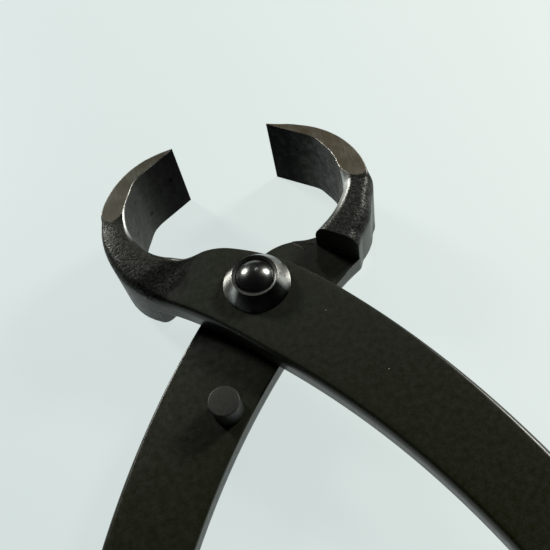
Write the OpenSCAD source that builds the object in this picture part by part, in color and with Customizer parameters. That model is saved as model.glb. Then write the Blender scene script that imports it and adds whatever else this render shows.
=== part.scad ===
// Root cutter for trees in pots: two crossed levers turn on one rivet, with concave jaws at one end
// and long bowed handles at the other. Both levers come from one pattern of forging and differ only in
// the neck; the rear lever lies turned over about the Y axis.
//
// Millimetres. Z is the pivot axis and points out of the front face, +Y points from the pivot to the
// jaws, and Z = 0 is the flat rear end of the rivet, level with the rear sides of the jaws.

/* [Jaws] */
// From the pivot axis to the cutting edges
jaw_reach = 39.8; // [34:0.1:50]
// Length of a cutting edge, through the thickness of the tool
edge_length = 20; // [16:0.5:26]
// Width of the flat left on a cutting edge
edge_land = 0.2; // [0.1:0.05:0.5]
// Gap left between the two cutting edges when the jaws are closed
edge_gap = 0.3; // [0.3:0.05:0.6]
// From the closed jaws' centre line to the widest point of one jaw
head_half_width = 24.9; // [23:0.1:28]
// Radius of a jaw's outside from its edge to its widest point
jaw_crown_r = 19.7; // [18:0.1:22]
// Radius of a jaw's outside from its widest point down to the heel
jaw_flank_r = 17; // [14:0.5:20]
// Radius of the slight hollow between the heel and the handle
heel_hollow_r = 80; // [50:5:120]

/* [Throat] */
// From the closed jaws' centre line to the side of the throat
throat_half_width = 18.2; // [16:0.1:20]
// Distance of the throat's upper curve's centre from the pivot
throat_centre_y = 24; // [22:0.1:27]
// Radius of the throat's upper curve, behind the cutting edge
throat_crown_r = 13.3; // [12:0.1:15]
// Radius of the throat's lower curve
throat_floor_r = 10.7; // [9:0.1:12]
// Angle at which the throat's two curves meet
throat_turn = 167; // [150:1:178]

/* [Jaw section] */
// Rounding of the neck's outer corners, across the jaw
neck_outer_round = 3; // [1:0.1:4]
// Rounding of the neck's outer corners, through the thickness of the tool
neck_outer_depth = 2.1; // [1:0.1:4]
// Rounding of the neck's inner corners, across the jaw
neck_inner_round = 2.8; // [0.8:0.1:3]
// Rounding of the neck's inner corners, through the thickness of the tool
neck_round_depth = 4; // [1:0.1:4.5]
// How far the neck drops from the jaw's ground side to the shoulder
neck_drop = 2.5; // [0.5:0.1:3.5]
// How far the front lever's neck runs before it meets the plate, as a share of the flank
front_neck_run = 1.07; // [0.4:0.01:1.1]
// How late the front lever's neck falls to the plate: 0 for evenly, 1 for late
front_neck_hold = 1; // [0:0.05:1]
// Share of the outer rounding that the front lever's neck has on the plate's side
front_neck_rounding = 0.6; // [0.1:0.05:1]
// How far the rear lever's neck runs before it meets the plate, as a share of the flank
rear_neck_run = 0.43; // [0.4:0.01:1.1]
// How late the rear lever's neck falls to the plate: 0 for evenly, 1 for late
rear_neck_hold = 0; // [0:0.05:1]
// Share of the outer rounding that the rear lever's neck has on the plate's side
rear_neck_rounding = 0.25; // [0.1:0.05:1]
// Angle round the jaw where the ground side ends
facet_turn = 152; // [140:1:165]
// How much narrower the neck is than the plate beside it, at the shoulder
neck_step = 5.3; // [3:0.1:7]
// Distance of the shoulder wall from the pivot, on the closed jaws' centre line
shoulder_wall_y = 17.3; // [15:0.1:18]
// Tilt of the shoulder
shoulder_wall_tilt = 21.5; // [16:0.5:26]

/* [Lap and handles] */
// Thickness of one lever at the lap and along its handle
lap_thickness = 5.5; // [4.5:0.1:7]
// Running gap between the two laps
lap_gap = 0.1; // [0.05:0.01:0.2]
// Radius of the hump between the throat and the shoulder of the handle
hump_r = 12; // [9:0.5:14]
// Radius of the handle's outer edge beside the pivot
shoulder_r = 47; // [40:1:60]
// Distance below the pivot where the shoulder curve runs into the bow
shoulder_end_y = 5; // [2:0.5:9]
// Radius of the handle's outer edge along the bow
bow_r = 190; // [170:1:230]
// From the closed tool's centre line to the widest point of one handle
bow_half_width = 29.9; // [27:0.1:34]
// Distance of the handles' widest point below the pivot
bow_y = 86; // [78:1:95]
// Radius of the handle's outer edge from the bow to its end
tail_r = 330; // [280:5:450]
// Distance of the handle's end below the pivot
handle_end_y = 170; // [150:1:190]
// Width of the handle beside the pivot
handle_root_width = 20.3; // [18:0.1:22]
// Width of the handle at its end
handle_end_width = 11.6; // [9:0.1:14]
// Length of the rounded tip of the handle
handle_tip_length = 5; // [3:0.5:8]
// Width of the bevel along the handle's inner front edge
inner_bevel_width = 1.15; // [0.5:0.05:2]
// Depth of the bevel along the handle's inner front edge
inner_bevel_depth = 2.2; // [0.8:0.1:2.4]
// Size of the bevel along the handle's outer edges at the grip
outer_bevel = 1.3; // [0.5:0.1:2]
// Size of the small break on the lap's other edges
edge_break = 0.35; // [0.2:0.05:0.6]

/* [Pivot] */
// Diameter of the rivet's shank
rivet_shank_d = 6; // [4:0.1:6.6]
// Radial clearance of the shank in the levers and washers
rivet_clearance = 0.05; // [0.02:0.01:0.1]
// Diameter of the rivet's round heads
rivet_head_d = 8.1; // [7.6:0.1:8.6]
// Height of the front head's dome above the washer
rivet_dome_height = 1.65; // [1:0.05:2.2]
// Diameter of a washer where it lies on the lever
washer_base_d = 14.6; // [13:0.1:17]
// Diameter of a washer's rim
washer_rim_d = 9.85; // [9.7:0.05:11]
// Height of a washer
washer_height = 3.3; // [2.5:0.1:4]
// Width of the flat on a washer's rim
washer_rim_land = 0.25; // [0.15:0.05:0.5]
// Depth of the recess that a rivet head sits in
head_recess_depth = 1.1; // [0.6:0.1:1.6]

/* [Stop pin] */
// Diameter of the stop pin
stop_pin_d = 6.5; // [5:0.1:8]
// Height of the stop pin above the rear lever
stop_pin_height = 5.4; // [4:0.1:7]
// Distance of the stop pin below the pivot, closed jaws
stop_pin_y = 26.4; // [24:0.1:32]
// Clear distance between the stop pin and the front lever when the jaws are closed
stop_pin_gap = 1.35; // [0.6:0.05:2]
// Diameter of the tenon that holds the stop pin in the rear lever
stop_tenon_d = 4; // [3:0.1:4.6]
// Clearance round the tenon
stop_tenon_clearance = 0.02; // [0.01:0.01:0.05]
// Break on the stop pin's upper edge
stop_pin_break = 0.35; // [0.1:0.05:0.8]

/* [Pose] */
// Angle between the two levers' cutting edges as modelled
opening = 32.5; // [0:0.5:50]

/* [Output] */
// Which piece to make

/* [Hidden] */
$fn = 96;
steel_black = [0.11, 0.12, 0.11];
steel_jaw = [0.14, 0.14, 0.13];
gloss_black = [0.05, 0.05, 0.05];
// Steps round each corner of a lever's section
corner_steps = 3;
// How far the forged jaw stands past its ground sides before they are ground flat
grinding_stock = 1.2;
lap_z = edge_length / 2;
front_face_z = lap_gap / 2 + lap_thickness;
// Run, hold and rounding of each lever's neck
front_neck = [front_neck_run, front_neck_hold, front_neck_rounding];
rear_neck = [rear_neck_run, rear_neck_hold, rear_neck_rounding];

function unit(a) = [cos(a), sin(a)];
function angle_of(v) = atan2(v[1], v[0]);
function full_angle(v) = angle_of(v) < 0 ? angle_of(v) + 360 : angle_of(v);
function blend(a, b, t) = a + (b - a) * t;
function ease(t) = t <= 0 ? 0 : t >= 1 ? 1 : t * t * (3 - 2 * t);

// One of the two points at distance r1 from c1 and r2 from c2: side 1 is to the left of c1 to c2
function meeting_point(c1, r1, c2, r2, side) =
    let (v = c2 - c1)
    let (d = norm(v))
    let (along = (d * d + r1 * r1 - r2 * r2) / (2 * d))
    let (across = sqrt(max(0, r1 * r1 - along * along)))
    c1 + along * v / d + side * across * [-v[1], v[0]] / d;

// Points on an arc from angle a0 towards a1, without the last one
function arc(c, r, a0, a1, n) = [for (i = [0:n - 1]) c + r * unit(blend(a0, a1, i / n))];

// Curve centres of one lever, closed: its jaw is at -X and its handle at +X
tip = [-edge_gap / 2, jaw_reach];
crown_centre = [-head_half_width + jaw_crown_r, jaw_reach - jaw_crown_r];
flank_centre = [-head_half_width + jaw_flank_r, crown_centre[1]];
throat_crown_centre = [-throat_half_width + throat_crown_r, throat_centre_y];
throat_shift = throat_crown_r - throat_floor_r;
throat_floor_centre = throat_crown_centre + throat_shift * unit(throat_turn);
bow_centre = [bow_half_width - bow_r, -bow_y];
shoulder_turn = asin((bow_y - shoulder_end_y) / bow_r);
shoulder_centre = bow_centre + (bow_r - shoulder_r) * unit(shoulder_turn);
hump_centre = meeting_point(throat_floor_centre, throat_floor_r + hump_r,
    shoulder_centre, shoulder_r - hump_r, 1);
hump_start = angle_of(throat_floor_centre - hump_centre);
hump_end = angle_of(hump_centre - shoulder_centre);
tail_centre = [bow_half_width - tail_r, -bow_y];
tail_turn = asin((handle_end_y - bow_y) / tail_r);
lap_inner_r = bow_r - handle_root_width;
heel_hollow_centre = meeting_point(flank_centre, jaw_flank_r + heel_hollow_r,
    bow_centre, lap_inner_r - heel_hollow_r, 1);
heel_end = full_angle(heel_hollow_centre - flank_centre);
lap_turn = angle_of(heel_hollow_centre - bow_centre);
bow_length = bow_r * shoulder_turn * PI / 180;
tail_length = tail_r * tail_turn * PI / 180;

// The line from the cutting edge touches the throat's upper curve here
land_end = tip - [0, edge_land];
edge_vector = land_end - throat_crown_centre;
throat_start = angle_of(edge_vector) + acos(throat_crown_r / norm(edge_vector));
throat_start_point = throat_crown_centre + throat_crown_r * unit(throat_start);
floor_end = full_angle(hump_centre - throat_floor_centre);

// Points taken along each stretch of the lever, from the cutting edge to the end of the handle
edge_steps = 7;
edge_top_steps = 4;
crown_steps = 9;
neck_steps = 7;
flank_steps = 14;
hump_steps = 8;
shoulder_steps = 8;
bow_steps = 22;
tail_steps = 18;
tip_steps = 7;
throat_floor_a = 200;

function handle_width(s) = blend(handle_root_width, handle_end_width, s / (bow_length + tail_length));

// The side of the lever that starts inside the throat and ends on the handle's outer edge
throat_side = concat(
    [for (i = [0:edge_steps - 1]) blend(land_end, throat_start_point, i / edge_steps)],
    arc(throat_crown_centre, throat_crown_r, throat_start, throat_turn, crown_steps),
    arc(throat_floor_centre, throat_floor_r, throat_turn, throat_floor_a, neck_steps),
    arc(throat_floor_centre, throat_floor_r, throat_floor_a, floor_end, flank_steps),
    arc(hump_centre, hump_r, hump_start, hump_end, hump_steps),
    arc(shoulder_centre, shoulder_r, hump_end, shoulder_turn, shoulder_steps),
    arc(bow_centre, bow_r, shoulder_turn, 0, bow_steps),
    arc(tail_centre, tail_r, 0, -tail_turn, tail_steps));

// The other side, from the jaw's outside to the handle's inner edge, with as many points
back_side = concat(
    [for (i = [0:edge_steps - 1]) i < edge_top_steps
        ? blend(tip, crown_centre + [0, jaw_crown_r], i / edge_top_steps)
        : crown_centre + jaw_crown_r * unit(blend(90, 108, (i - edge_top_steps) / (edge_steps - edge_top_steps)))],
    arc(crown_centre, jaw_crown_r, 108, 158, crown_steps),
    arc(crown_centre, jaw_crown_r, 158, 180, neck_steps),
    arc(flank_centre, jaw_flank_r, 180, heel_end, flank_steps),
    arc(heel_hollow_centre, heel_hollow_r, heel_end - 180, lap_turn, hump_steps),
    arc(bow_centre, lap_inner_r, lap_turn, shoulder_turn, shoulder_steps),
    [for (i = [0:bow_steps - 1]) bow_centre
        + (bow_r - handle_width(bow_length * i / bow_steps)) * unit(shoulder_turn * (1 - i / bow_steps))],
    [for (i = [0:tail_steps - 1]) tail_centre
        + (tail_r - handle_width(bow_length + tail_length * i / tail_steps)) * unit(-tail_turn * i / tail_steps)]);

// The rounded tip of the handle
tail_out = tail_centre + tail_r * unit(-tail_turn);
tail_in = tail_centre + (tail_r - handle_end_width) * unit(-tail_turn);
tail_dir = unit(-tail_turn - 90);
function tip_point(a, b, t) =
    blend((a + b) / 2, a, sqrt(max(0, 1 - pow(t, 2.4)))) + tail_dir * handle_tip_length * t;
function tip_t(i) = 0.985 * sin(90 * i / tip_steps);
all_throat = concat(throat_side, [for (i = [0:tip_steps]) tip_point(tail_out, tail_in, tip_t(i))]);
all_back = concat(back_side, [for (i = [0:tip_steps]) tip_point(tail_in, tail_out, tip_t(i))]);

// Ring numbers where the section changes
facet_at = edge_steps + crown_steps * (facet_turn - 108) / 50;
flank_at = edge_steps + crown_steps + neck_steps;
function plate_at(neck) = flank_at + flank_steps * neck[0];
lap_at = flank_at + flank_steps + 2;
bow_at = flank_at + flank_steps + hump_steps + shoulder_steps;
grip_at = bow_at + bow_steps * 0.75;

// Front and rear heights of the forging at ring i, measured from the lap
function ground_crown(i) = lap_z + grinding_stock * (1 - pow(i / facet_at, 3));
function even_fall(t) = blend(t, ease(t), 0.7 * t);
function late_fall(t) = 0.45 * pow(t, 1.6) + 0.55 * ease((t - 0.72) / 0.28);
function neck_fall(i, neck) =
    let (t = (i - facet_at) / (plate_at(neck) - facet_at))
    blend(even_fall(t), late_fall(t), neck[1]);
function crown_front(i, neck) = i <= facet_at ? ground_crown(i)
    : i < plate_at(neck) ? blend(lap_z, front_face_z, neck_fall(i, neck)) : front_face_z;
function crown_rear(i) = i <= facet_at ? -ground_crown(i)
    : i < lap_at ? -blend(lap_z, lap_z - neck_drop, (i - facet_at) / (lap_at - facet_at))
    : lap_gap / 2;

// How far the rear of the neck stays inside the throat side of the plate at ring i
function step_in(i) = i <= flank_at || i >= lap_at ? 0
    : neck_step * pow((i - flank_at) / (lap_at - flank_at), 2);

// How much of the neck's rounding ring i has, and how much of the handle's bevels
function neck_share(i, last) = min(ease((i - facet_at + 1.6) / 3.2), 1 - ease((i - last + 4) / 5));
function grip_share(i) = ease((i - bow_at) / (grip_at - bow_at));

// Corner sizes at ring i, each as [across the lever, through its thickness], for the four corners:
// back rear, throat rear, throat front, back front
function corners(i, neck) = [
    blend([edge_break, edge_break], [neck_outer_round, neck_outer_depth], neck_share(i, 999) * (i < lap_at ? 1 : 0))
        + (i < lap_at ? [0, 0] : [1, 1] * (outer_bevel - edge_break) * 0.6 * grip_share(i)),
    blend([edge_break, edge_break], [neck_inner_round, neck_round_depth], neck_share(i, 999) * (i < lap_at ? 1 : 0))
        + (i < lap_at ? [0, 0] : [1, 1] * (outer_bevel - edge_break) * grip_share(i)),
    blend([edge_break, edge_break], [neck_inner_round, neck_round_depth], neck_share(i, plate_at(neck)))
        + [1, 1] * (outer_bevel - edge_break) * grip_share(i),
    blend(blend([edge_break, edge_break], [inner_bevel_width, inner_bevel_depth], ease((i - facet_at + 3) / 4)),
        blend([edge_break, edge_break], [neck_outer_round, neck_outer_depth], neck[2]), neck_share(i, lap_at))];

// One corner: quarter turn q (0 to 3) of a rounded box from 0 to w across and lo to hi in height
function corner(q, w, lo, hi, size) =
    let (sx = min(size[0], 0.3 * w))
    let (sz = min(size[1], 0.45 * (hi - lo)))
    [for (k = [0:corner_steps])
        let (a = 180 + 90 * q + 90 * k / corner_steps)
        let (cx = q == 0 || q == 3 ? sx : w - sx)
        let (cz = q < 2 ? lo + sz : hi - sz)
        [cx + sx * cos(a), cz + sz * sin(a)]];

// Level of the step between the neck and the plate: at the lap, or along the handle just above the corner
function step_level(i, k, neck) = i < lap_at ? lap_gap / 2 * k
    : crown_rear(i) + corners(i, neck)[1][1] * (1.1 + 0.3 * k);

// The section at ring i, from the jaw's outside round by the rear to the throat and the front
function section(i, neck) =
    let (a = all_back[i])
    let (b = all_throat[i])
    let (w = norm(b - a))
    let (u = (b - a) / w)
    let (lo = crown_rear(i))
    let (hi = crown_front(i, neck))
    let (sizes = corners(i, neck))
    let (outline = concat(corner(0, w, lo, hi, sizes[0]), corner(1, w - step_in(i), lo, hi, sizes[1]),
        [[w - step_in(i), step_level(i, 0, neck)], [w, step_level(i, 1, neck)]],
        corner(2, w, lo, hi, sizes[2]), corner(3, w, lo, hi, sizes[3])))
    [for (p = outline) [a[0] + u[0] * p[0], a[1] + u[1] * p[0], p[1]]];

ring_count = len(all_back);
ring_points = 4 * (corner_steps + 1) + 2;

// The forging, swept from the cutting edge to the end of the handle
module forging(neck) {
    points = [for (i = [0:ring_count - 1]) for (p = section(i, neck)) p];
    last = (ring_count - 1) * ring_points;
    sides = [for (i = [0:ring_count - 2]) for (k = [0:ring_points - 1])
        let (n = (k + 1) % ring_points)
        let (a = i * ring_points)
        let (b = a + ring_points)
        for (f = [[a + k, b + k, a + n], [a + n, b + k, b + n]]) f];
    start_cap = [for (k = [1:ring_points - 2]) [0, k, k + 1]];
    end_cap = [for (k = [1:ring_points - 2]) [last, last + k + 1, last + k]];
    polyhedron(points, concat(sides, start_cap, end_cap));
}

// One lever in its closed place, with the lap at Z = 0 and its plate on the +Z side
module lever(neck) {
    difference() {
        forging(neck);
        // The jaw's sides are ground flat, level with the ends of the cutting edge
        translate([-60, -20, lap_z]) cube([120, 80, 10]);
        translate([-60, -20, -lap_z - 10]) cube([120, 80, 10]);
        // Room for the other lever's lap, up to the shoulder
        translate([0, shoulder_wall_y, 0]) rotate([0, 0, shoulder_wall_tilt])
            translate([-40, -60, -lap_z - 20]) cube([100, 60, lap_z + 20 + lap_gap / 2]);
        translate([0, 0, -lap_z]) cylinder(h = 3 * lap_z, d = rivet_shank_d + 2 * rivet_clearance);
    }
}

module front_lever() {
    color(steel_black) translate([0, 0, lap_z]) rotate([0, 0, opening / 2]) lever(front_neck);
}

module rear_lever() {
    color(steel_jaw) translate([0, 0, lap_z]) rotate([0, 0, -opening / 2])
        difference() {
            rotate([0, 180, 0]) lever(rear_neck);
            translate([stop_pin_x, -stop_pin_y, -lap_thickness - 5])
                cylinder(h = lap_thickness + 10, d = stop_tenon_d + 2 * stop_tenon_clearance);
        }
}

// The stop pin's place on the rear lever, so that its side clears the front lever's closed edge
stop_pin_turn = asin((bow_y - stop_pin_y) / bow_r);
stop_pin_line = bow_r - handle_width(bow_r * (shoulder_turn - stop_pin_turn) * PI / 180)
    - stop_pin_gap - stop_pin_d / 2;
stop_pin_x = bow_centre[0] + sqrt(pow(stop_pin_line, 2) - pow(bow_y - stop_pin_y, 2));

module pivot_rivet() {
    head_r = rivet_head_d / 2;
    dome_r = (pow(head_r, 2) + pow(rivet_dome_height, 2)) / (2 * rivet_dome_height);
    front_rim_z = lap_z + front_face_z + washer_height;
    rear_rim_z = lap_z - front_face_z - lap_gap / 2 - washer_height;
    color(gloss_black) union() {
        // Shank between the two recesses
        translate([0, 0, rear_rim_z + head_recess_depth])
            cylinder(h = front_rim_z - rear_rim_z - 2 * head_recess_depth, d = rivet_shank_d);
        // Front head: a short round step and a dome
        translate([0, 0, front_rim_z - head_recess_depth])
            cylinder(h = head_recess_depth, d = rivet_head_d);
        translate([0, 0, front_rim_z]) intersection() {
            translate([0, 0, rivet_dome_height - dome_r]) sphere(r = dome_r);
            cylinder(h = rivet_dome_height + 1, d = rivet_head_d);
        }
        // Rear head, hammered flat
        cylinder(h = rear_rim_z + head_recess_depth, d = rivet_head_d);
    }
}

// A washer standing on Z = 0, with its rim up
module washer() {
    difference() {
        cylinder(h = washer_height, d1 = washer_base_d, d2 = washer_rim_d);
        translate([0, 0, -1]) cylinder(h = washer_height + 2, d = rivet_shank_d + 2 * rivet_clearance);
        translate([0, 0, washer_height - head_recess_depth])
            cylinder(h = head_recess_depth + 1, d = washer_rim_d - 2 * washer_rim_land);
    }
}

module front_washer() {
    color(gloss_black) translate([0, 0, lap_z + front_face_z]) washer();
}

module rear_washer() {
    color(gloss_black) translate([0, 0, lap_z - front_face_z - lap_gap / 2]) rotate([180, 0, 0]) washer();
}

module stop_pin() {
    color(steel_black) translate([0, 0, lap_z]) rotate([0, 0, -opening / 2])
        translate([stop_pin_x, -stop_pin_y, -lap_gap / 2]) {
            cylinder(h = stop_pin_height - stop_pin_break, d = stop_pin_d);
            translate([0, 0, stop_pin_height - stop_pin_break])
                cylinder(h = stop_pin_break, d1 = stop_pin_d, d2 = stop_pin_d - 2 * stop_pin_break);
            translate([0, 0, -lap_thickness]) cylinder(h = lap_thickness, d = stop_tenon_d);
        }
}

front_lever();
rear_lever();
pivot_rivet();
front_washer();
rear_washer();
stop_pin();
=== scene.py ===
import math

import bmesh
import bpy
import numpy as np
from bpy.props import FloatProperty, FloatVectorProperty, PointerProperty
from bpy.types import Operator, Panel, PropertyGroup
from mathutils import Matrix, Vector


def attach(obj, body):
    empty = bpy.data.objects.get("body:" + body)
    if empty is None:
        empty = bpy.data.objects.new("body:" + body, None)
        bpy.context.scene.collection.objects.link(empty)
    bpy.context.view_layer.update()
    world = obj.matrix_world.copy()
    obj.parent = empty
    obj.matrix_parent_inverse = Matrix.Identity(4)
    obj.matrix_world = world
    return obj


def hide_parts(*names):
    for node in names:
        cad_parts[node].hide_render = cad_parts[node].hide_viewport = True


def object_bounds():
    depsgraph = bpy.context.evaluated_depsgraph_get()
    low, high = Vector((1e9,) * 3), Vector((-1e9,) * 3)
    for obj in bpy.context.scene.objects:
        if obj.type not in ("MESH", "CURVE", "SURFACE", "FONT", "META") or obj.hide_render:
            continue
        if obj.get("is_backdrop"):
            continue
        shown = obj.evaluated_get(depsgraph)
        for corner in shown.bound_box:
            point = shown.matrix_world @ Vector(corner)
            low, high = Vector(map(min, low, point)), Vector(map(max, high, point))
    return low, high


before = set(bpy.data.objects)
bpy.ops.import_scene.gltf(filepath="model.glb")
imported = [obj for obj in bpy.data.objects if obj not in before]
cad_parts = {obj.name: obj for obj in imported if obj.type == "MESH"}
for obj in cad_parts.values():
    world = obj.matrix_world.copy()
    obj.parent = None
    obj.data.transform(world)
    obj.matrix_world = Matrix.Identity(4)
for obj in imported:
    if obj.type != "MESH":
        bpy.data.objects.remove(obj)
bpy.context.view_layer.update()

bl_info = {
    "name": "Root Cutter",
    "version": (1, 0, 0),
    "blender": (4, 5, 0),
    "location": "3D View > Sidebar > Root Cutter",
    "description": "Dresses the forged root cutter: levers, riveted pivot, stop pin and stage",
    "category": "Object",
}

MM = 0.001
HALF_OPEN = math.radians(32.5) / 2  # each lever's turn from closed to its place at rest
CROWN_TURNS = (90, 108, 158, 180)  # degrees round the crown: its top, and the ends of a lever's first three stretches
FLOOR_TURN = 200  # degrees round the throat, opposite the jaw's widest point
RIM_START, RIM_RISE, RIM_END = 112, 14, 230  # degrees round the throat: the bright rim's start, rise and end
BEYOND_LAST_RING = 999  # a ring number that stands for no end
ROUND_STEPS, ACROSS_STEPS, SIDE_STEPS = 9, 16, 24  # steps round a section's corner, across it and up its side
PROFILE_STEPS = 5  # steps round the corner of a turned profile
SAME_PLACE = 1e-7  # metres within which points are one
NOT_ZERO = 1e-9  # keeps a height that is divided by from being zero
ON_PLANE = 2e-5  # metres within which a face lies on the ground plane
LONGEST_LEVER = 300 * MM  # longer than any lever that is cut rightly


def length(name, default_mm, description):
    return FloatProperty(name=name, description=description, default=default_mm * MM, min=0,
                         unit="LENGTH", precision=5)


def angle(name, default_degrees, description):
    return FloatProperty(name=name, description=description, default=math.radians(default_degrees),
                         unit="ROTATION")


def offset(name, description):
    return FloatProperty(name=name, description=description, default=0, unit="LENGTH", precision=5)


def number(name, default, description):
    return FloatProperty(name=name, description=description, default=default)


def amount(name, default, description, low=0.0, high=1.0):
    return FloatProperty(name=name, description=description, default=default, min=low, max=high, subtype="FACTOR")


def colour(name, default, description):
    return FloatVectorProperty(name=name, description=description, default=default, size=3, min=0, max=1,
                               subtype="COLOR")


class LeverSizes(PropertyGroup):
    jaw_reach: length("Jaw reach", 39.8, "From the pivot axis to the cutting edges")
    edge_length: length("Edge length", 20, "Length of a cutting edge through the thickness of the tool")
    edge_land: length("Edge land", 0.2, "Width of the flat left on a cutting edge")
    edge_gap: length("Edge gap", 0.3, "Gap between the cutting edges when closed")
    head_half_width: length("Head half width", 24.9, "From the centre line to a jaw's widest point")
    jaw_crown_r: length("Jaw crown radius", 19.7, "Outside of a jaw from its edge to its widest point")
    jaw_flank_r: length("Jaw flank radius", 17, "Outside of a jaw from its widest point to the heel")
    heel_hollow_r: length("Heel hollow radius", 80, "Slight hollow between the heel and the handle")
    throat_half_width: length("Throat half width", 18.2, "From the centre line to the side of the throat")
    throat_centre_y: length("Throat height", 24, "Centre of the throat's upper curve above the pivot")
    throat_crown_r: length("Throat crown radius", 13.3, "Upper curve of the throat")
    throat_floor_r: length("Throat floor radius", 10.7, "Lower curve of the throat")
    throat_turn: angle("Throat turn", 167, "Angle at which the throat's two curves meet")
    neck_outer_round: length("Neck outer rounding", 3, "Across the jaw")
    neck_outer_depth: length("Neck outer rounding depth", 2.1, "Through the thickness of the tool")
    neck_inner_round: length("Neck inner rounding", 2.8, "Across the jaw")
    neck_round_depth: length("Neck rounding depth", 4, "Through the thickness of the tool")
    neck_drop: length("Neck drop", 2.5, "From the jaw's ground side to the shoulder")
    facet_dip: length("Facet dip", 0.12, "Drop of the forged skin where the ground side ends")
    neck_dome: length("Neck dome", 0.32, "Rise of the forged crown across the jaw")
    corner_cut: angle("Corner cut", 35, "How sharply the neck's outer rounding meets the jaw's side")
    neck_step: length("Neck step", 5.3, "How much narrower the neck is than the plate at the shoulder")
    shoulder_wall_y: length("Shoulder wall", 17.3, "From the pivot on the closed centre line")
    shoulder_wall_tilt: angle("Shoulder tilt", 21.5, "Tilt of the shoulder wall")
    lap_thickness: length("Lap thickness", 5.5, "One lever's plate")
    lap_gap: length("Lap gap", 0.1, "Running gap between the laps")
    hump_r: length("Hump radius", 12, "Between the throat and the shoulder of the handle")
    shoulder_r: length("Shoulder radius", 47, "Outer edge beside the pivot")
    shoulder_end_y: length("Shoulder end", 5, "Below the pivot where the bow starts")
    bow_r: length("Bow radius", 190, "Outer edge of the handle along the bow")
    bow_half_width: length("Bow half width", 29.9, "From the centre line to the handle's widest point")
    bow_y: length("Bow place", 86, "Widest point below the pivot")
    tail_r: length("Tail radius", 330, "Outer edge from the bow to the handle's end")
    handle_end_y: length("Handle end", 170, "Handle's end below the pivot")
    handle_root_width: length("Handle root width", 20.3, "Beside the pivot")
    handle_end_width: length("Handle end width", 11.6, "At the end of the handle")
    handle_tip_length: length("Handle tip", 5, "Length of the rounded tip")
    inner_bevel_width: length("Inner bevel width", 1.15, "Along the handle's inner front edge")
    inner_bevel_depth: length("Inner bevel depth", 2.2, "Along the handle's inner front edge")
    outer_bevel: length("Outer bevel", 1.3, "Along the handle's outer edges at the grip")
    edge_break: length("Edge break", 0.35, "Small break on the lap's other edges")
    grinding_stock: length("Grinding stock", 1.2, "What is ground off the jaw's sides")
    forge_depth: length("Forge pitting depth", 0.14, "Height of the rough skin on the necks")
    forge_grain: length("Forge pitting grain", 1.0, "Size of the pits on the necks")


class HandWork(PropertyGroup):
    """Where one hand-forged lever differs from the other, and how much painted shade falls on its jaw's outside and
    ground bevel.
    """

    facet_turn: angle("Facet turn", 152, "Angle round the jaw where the ground side ends")
    tip_out: offset("Beside the edge", "Outside of the jaw beside its cutting edge, moved out")
    crown_out: offset("Crown", "Outside of the jaw along the ground side, moved out")
    step_out: offset("Step", "Outside of the jaw just past the ground side, moved out")
    step_turn: number("Step turn", -4, "Degrees from the ground side's end to the step")
    flank_out: offset("Flank", "Outside of the jaw at its widest, moved out")
    heel_out: offset("Heel", "Outside of the jaw between flank and heel, moved out")
    lap_out: offset("Lap", "Inner edge of the lap beside the heel, moved out")
    crown_in: offset("Throat crown", "Throat side of the jaw behind the edge, moved in")
    turn_in: offset("Throat turn", "Throat side of the jaw at its widest, moved in")
    round_growth: number("Round growth", 1, "Size of the neck's inner rounding")
    plate_run: number("Plate run", 6, "Rings from the widest point to the plate")
    shoulder: amount("Shoulder", 0, "How late the neck falls to the plate")
    plate_round: amount("Plate side rounding", 0.25, "Outer rounding of the neck on the plate's side")
    worn_run: number("Worn run", 5, "Rings over which the worn inner corner fades")
    inner_run: number("Inner run", 12, "Rings over which the inner rounding grows")
    heel_run: amount("Heel run", 0.01, "How many degrees the heel goes on round the crown", 0.01, 15)
    # Painted shade: darkens the outside of one lever's jaw
    painted_side_shade: amount("Side shade", 0.9, "How light the outside of the jaw is")
    # Painted shade: darkens the ground bevel of one lever's jaw
    painted_ground_shade: amount("Ground shade", 1.0, "How light the ground bevel of the jaw is")


class PivotSizes(PropertyGroup):
    rivet_shank_d: length("Rivet shank", 6, "Diameter of the rivet's shank")
    rivet_clearance: length("Rivet clearance", 0.05, "Radial clearance round the shank")
    rivet_head_d: length("Rivet head", 8.1, "Diameter of the rivet's heads")
    rivet_dome_height: length("Dome height", 1.65, "Front head above the washer's rim")
    rivet_dome_drop: length("Dome drop", 0.34, "Foot of the dome below the washer's rim")
    washer_base_d: length("Washer base", 14.6, "Diameter where a washer lies on the lever")
    washer_rim_d: length("Washer rim", 9.85, "Diameter of a washer's rim")
    washer_height: length("Washer height", 3.3, "Height of a washer")
    washer_rim_land: length("Washer rim land", 0.14, "Flat on a washer's rim")
    washer_dish: length("Washer dish", 0.22, "Drop of the rim towards the rivet's head")
    head_recess_depth: length("Head recess", 1.1, "Depth of the recess round a head")
    turned_edge: length("Turned edge", 0.09, "Rounding of the turned edges")
    washer_turning: amount("Washer turning", 0.22, "Depth of the turning rings on the washers")
    rivet_turning: amount("Rivet turning", 0.1, "Depth of the turning rings on the rivet")


class PinSizes(PropertyGroup):
    stop_pin_d: length("Pin diameter", 6.5, "Diameter of the stop pin")
    stop_pin_height: length("Pin height", 5.4, "Above the rear lever")
    stop_pin_y: length("Pin place", 26.4, "Below the pivot when closed")
    stop_pin_gap: length("Pin gap", 1.35, "Clear distance to the closed front lever's edge")
    stop_tenon_d: length("Tenon diameter", 4, "Tenon in the rear lever")
    stop_tenon_clearance: length("Tenon clearance", 0.02, "Round the tenon")
    pin_edge: length("Pin edge", 0.3, "Rounding of the pin's upper edge")


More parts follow.
